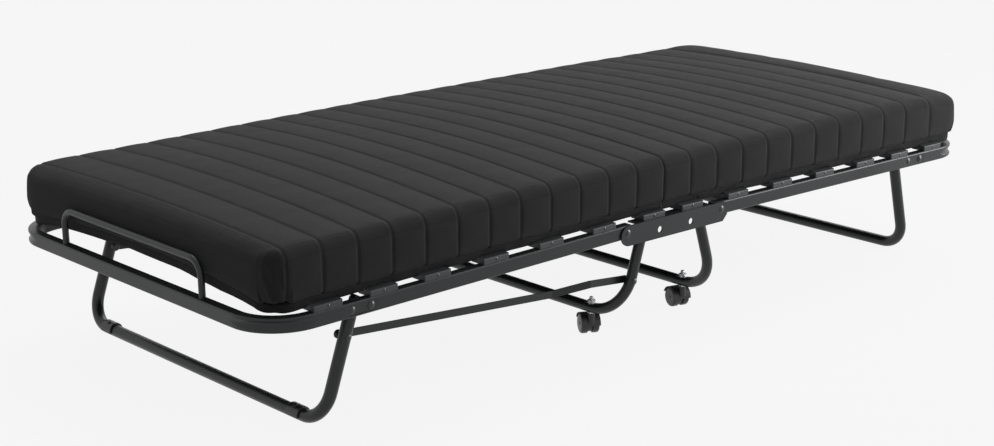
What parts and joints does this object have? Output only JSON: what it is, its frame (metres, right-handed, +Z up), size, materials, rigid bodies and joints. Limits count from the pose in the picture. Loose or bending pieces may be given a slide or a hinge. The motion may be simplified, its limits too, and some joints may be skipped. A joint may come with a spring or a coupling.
{
  "type": "folding cot",
  "caption": "Folding guest bed: two pivoting rail halves with bowed slats, fold-out legs, casters and a one-piece mattress.",
  "frame": {"origin": "on the floor, under the middle of the bed", "axes": "+X along the bed from the head end to the foot end, +Y across it to the sleeper's left, +Z up"},
  "size_m": [1.8142, 0.811, 0.335],
  "materials": {
    "powder_coat": "satin black powder coat",
    "rivet_steel": "gloss black coated rivets",
    "dark_steel": "blackened steel",
    "zinc": "bright zinc plate",
    "black_plastic": "matt moulded",
    "wheel_plastic": "satin moulded",
    "slat_wood": "black stained, bent plywood",
    "cover_fabric": "quilted knit, charcoal black"
  },
  "bodies": {
    "chassis": {"hinge_plate_right": "powder_coat", "hinge_plate_left": "powder_coat", "hinge_pins": "rivet_steel", "centre_slat_head": "slat_wood", "centre_slat_foot": "slat_wood", "centre_slat_caps": "black_plastic", "centre_slat_rivets": "rivet_steel", "centre_leg_head": "powder_coat", "centre_leg_foot": "powder_coat", "link_hinge_pins": "rivet_steel", "caster_stems": "zinc", "caster_nuts": "zinc", "mattress_centre": "cover_fabric"},
    "head_half": {"head_rail": "powder_coat", "head_slat_1": "slat_wood", "head_slat_2": "slat_wood", "head_slat_3": "slat_wood", "head_slat_4": "slat_wood", "head_slat_5": "slat_wood", "head_slat_6": "slat_wood", "head_slat_caps": "black_plastic", "head_slat_rivets": "rivet_steel", "head_leg_brackets": "powder_coat", "head_leg_rivets": "rivet_steel", "mattress_head": "cover_fabric", "guard_bar": "powder_coat"},
    "foot_half": {"foot_rail": "powder_coat", "foot_slat_1": "slat_wood", "foot_slat_2": "slat_wood", "foot_slat_3": "slat_wood", "foot_slat_4": "slat_wood", "foot_slat_5": "slat_wood", "foot_slat_6": "slat_wood", "foot_slat_caps": "black_plastic", "foot_slat_rivets": "rivet_steel", "foot_leg_brackets": "powder_coat", "foot_leg_rivets": "rivet_steel", "mattress_foot": "cover_fabric"},
    "head_leg_body": {"head_leg": "powder_coat", "head_leg_link_pins": "rivet_steel", "rest_clips": "black_plastic", "rest_clip_screws": "dark_steel"},
    "foot_leg_body": {"foot_leg": "powder_coat"},
    "link_right_body": {"link_right": "powder_coat", "link_nut_right": "black_plastic"},
    "link_left_body": {"link_left": "powder_coat", "link_nut_left": "black_plastic"},
    "caster_swivel_head_right": {"caster_hood_head_right": "black_plastic", "caster_axle_head_right": "dark_steel"},
    "caster_roller_head_right": {"caster_wheels_head_right": "wheel_plastic"},
    "caster_swivel_foot_right": {"caster_hood_foot_right": "black_plastic", "caster_axle_foot_right": "dark_steel"},
    "caster_roller_foot_right": {"caster_wheels_foot_right": "wheel_plastic"},
    "caster_swivel_head_left": {"caster_hood_head_left": "black_plastic", "caster_axle_head_left": "dark_steel"},
    "caster_roller_head_left": {"caster_wheels_head_left": "wheel_plastic"},
    "caster_swivel_foot_left": {"caster_hood_foot_left": "black_plastic", "caster_axle_foot_left": "dark_steel"},
    "caster_roller_foot_left": {"caster_wheels_foot_left": "wheel_plastic"}
  },
  "joints": [
    {"name": "head_fold", "type": "hinge", "parent": "chassis", "child": "head_half", "pos_m": [-0.124, 0, 0.214], "axis": [0, 1, 0], "range_deg": [0, 88], "deforming": ["mattress_centre"]},
    {"name": "foot_fold", "type": "hinge", "parent": "chassis", "child": "foot_half", "pos_m": [0.124, 0, 0.214], "axis": [0, -1, 0], "range_deg": [0, 88], "deforming": ["mattress_centre"]},
    {"name": "head_leg_fold", "type": "hinge", "parent": "head_half", "child": "head_leg_body", "pos_m": [-0.70194, 0, 0.20542], "axis": [0, -1, 0], "range_deg": [0, 97]},
    {"name": "foot_leg_fold", "type": "hinge", "parent": "foot_half", "child": "foot_leg_body", "pos_m": [0.70199, 0, 0.20996], "axis": [0, 1, 0], "range_deg": [0, 103]},
    {"name": "link_swing_right", "type": "hinge", "parent": "chassis", "child": "link_right_body", "pos_m": [-0.10206, -0.3758, 0.1195], "axis": [0, 1, 0], "range_deg": [0, 82.5]},
    {"name": "link_swing_left", "type": "hinge", "parent": "chassis", "child": "link_left_body", "pos_m": [-0.10206, 0.3758, 0.1195], "axis": [0, 1, 0], "range_deg": [0, 82.5]},
    {"name": "caster_swivel_head_right", "type": "hinge", "parent": "chassis", "child": "caster_swivel_head_right", "pos_m": [-0.1225, -0.311, 0.04], "axis": [0, 0, 1], "continuous": true},
    {"name": "caster_roll_head_right", "type": "hinge", "parent": "caster_swivel_head_right", "child": "caster_roller_head_right", "pos_m": [-0.11405, -0.29511, 0.019], "axis": [-0.8829, 0.4695, 0], "continuous": true},
    {"name": "caster_swivel_foot_right", "type": "hinge", "parent": "chassis", "child": "caster_swivel_foot_right", "pos_m": [0.1225, -0.311, 0.04], "axis": [0, 0, 1], "continuous": true},
    {"name": "caster_roll_foot_right", "type": "hinge", "parent": "caster_swivel_foot_right", "child": "caster_roller_foot_right", "pos_m": [0.12716, -0.29361, 0.019], "axis": [-0.9659, 0.2588, 0], "continuous": true},
    {"name": "caster_swivel_head_left", "type": "hinge", "parent": "chassis", "child": "caster_swivel_head_left", "pos_m": [-0.1225, 0.311, 0.04], "axis": [0, 0, 1], "continuous": true},
    {"name": "caster_roll_head_left", "type": "hinge", "parent": "caster_swivel_head_left", "child": "caster_roller_head_left", "pos_m": [-0.12501, 0.29318, 0.019], "axis": [0.9903, -0.1392, 0], "continuous": true},
    {"name": "caster_swivel_foot_left", "type": "hinge", "parent": "chassis", "child": "caster_swivel_foot_left", "pos_m": [0.1225, 0.311, 0.04], "axis": [0, 0, 1], "continuous": true},
    {"name": "caster_roll_foot_left", "type": "hinge", "parent": "caster_swivel_foot_left", "child": "caster_roller_foot_left", "pos_m": [0.12716, 0.29361, 0.019], "axis": [0.9659, 0.2588, 0], "continuous": true}
  ],
  "couplings": [
    {"joint": "head_leg_fold", "follows": "head_fold", "ratio": 1.1},
    {"joint": "link_swing_right", "follows": "head_fold", "ratio": 0.935},
    {"joint": "link_swing_left", "follows": "head_fold", "ratio": 0.935}
  ]
}
